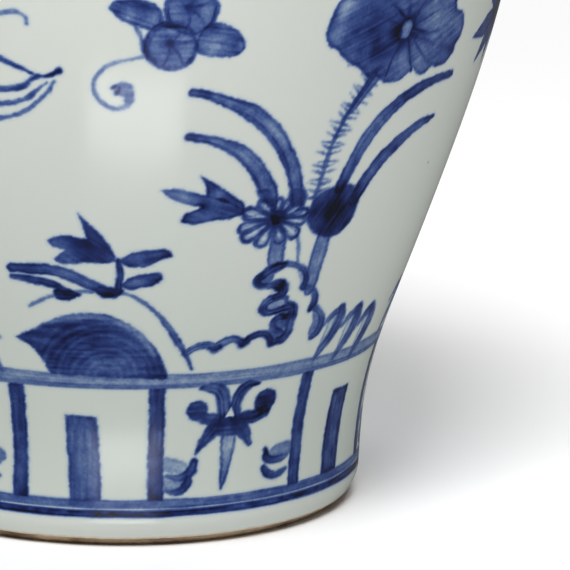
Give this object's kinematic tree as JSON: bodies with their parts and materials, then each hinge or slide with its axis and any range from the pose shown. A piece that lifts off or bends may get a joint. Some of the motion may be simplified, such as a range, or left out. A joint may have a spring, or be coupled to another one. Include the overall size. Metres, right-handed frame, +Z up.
{
  "type": "vase",
  "caption": "Footed porcelain vase with a flaring body, round shoulder, short waisted neck and rolled lip, painted in blue under a pale glaze.",
  "frame": {"origin": "middle of the ring that the vase stands on, on the surface under it", "axes": "+Z up along the axis of the vase; -Y towards the side in the picture; +X to its right"},
  "size_m": [0.262, 0.262, 0.352],
  "materials": {
    "glazed_porcelain": "glossy pale blue-green glaze over cobalt painting",
    "bare_porcelain": "unglazed, burnt to a warm brown",
    "luting_slip": "smoothed slip under a thin glaze"
  },
  "bodies": {
    "root": {"foot_ring": "bare_porcelain", "base_disc": "glazed_porcelain", "base_slip_fillet": "luting_slip", "lower_body": "glazed_porcelain", "belly_slip_ring": "luting_slip", "upper_body": "glazed_porcelain", "neck_slip_ring": "luting_slip", "neck": "glazed_porcelain"}
  },
  "joints": []
}
